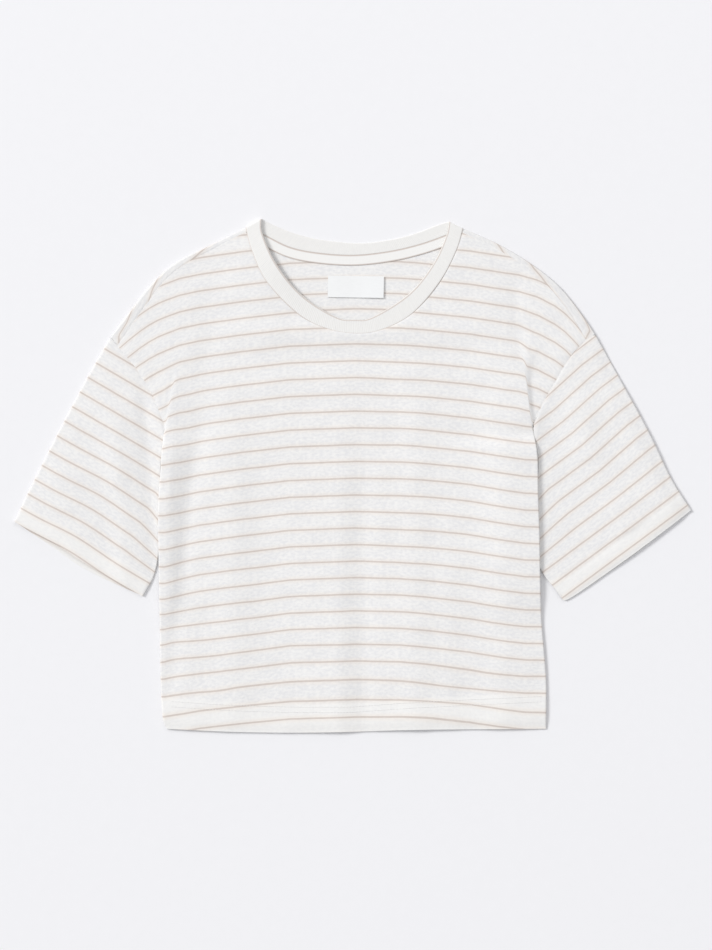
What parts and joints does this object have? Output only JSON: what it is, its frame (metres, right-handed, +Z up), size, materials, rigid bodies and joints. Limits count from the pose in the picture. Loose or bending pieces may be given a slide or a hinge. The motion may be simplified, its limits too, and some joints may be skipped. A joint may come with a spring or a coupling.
{
  "type": "cropped short-sleeved t-shirt",
  "caption": "Cropped boxy jersey top with fine horizontal stripes, a ribbed crew neckband, short set-in sleeves and turned hems, laid flat on its back.",
  "frame": {"origin": "under the middle of the laid garment's outline, on the surface it lies on", "axes": "+X to the right as the laid front is seen, +Y towards the neck, +Z up out of the front"},
  "size_m": [0.69, 0.524, 0.0068],
  "materials": {
    "jersey": "off-white fine slub jersey with thin tan stripes",
    "rib": "off-white rib knit, folded double",
    "tape": "off-white jersey binding with tan edges",
    "label": "plain white woven satin"
  },
  "bodies": {
    "root": {"front": "jersey", "back": "jersey", "sleeve_left": "jersey", "sleeve_right": "jersey", "neckband": "rib", "neck_tape": "tape", "label": "label"}
  },
  "joints": []
}
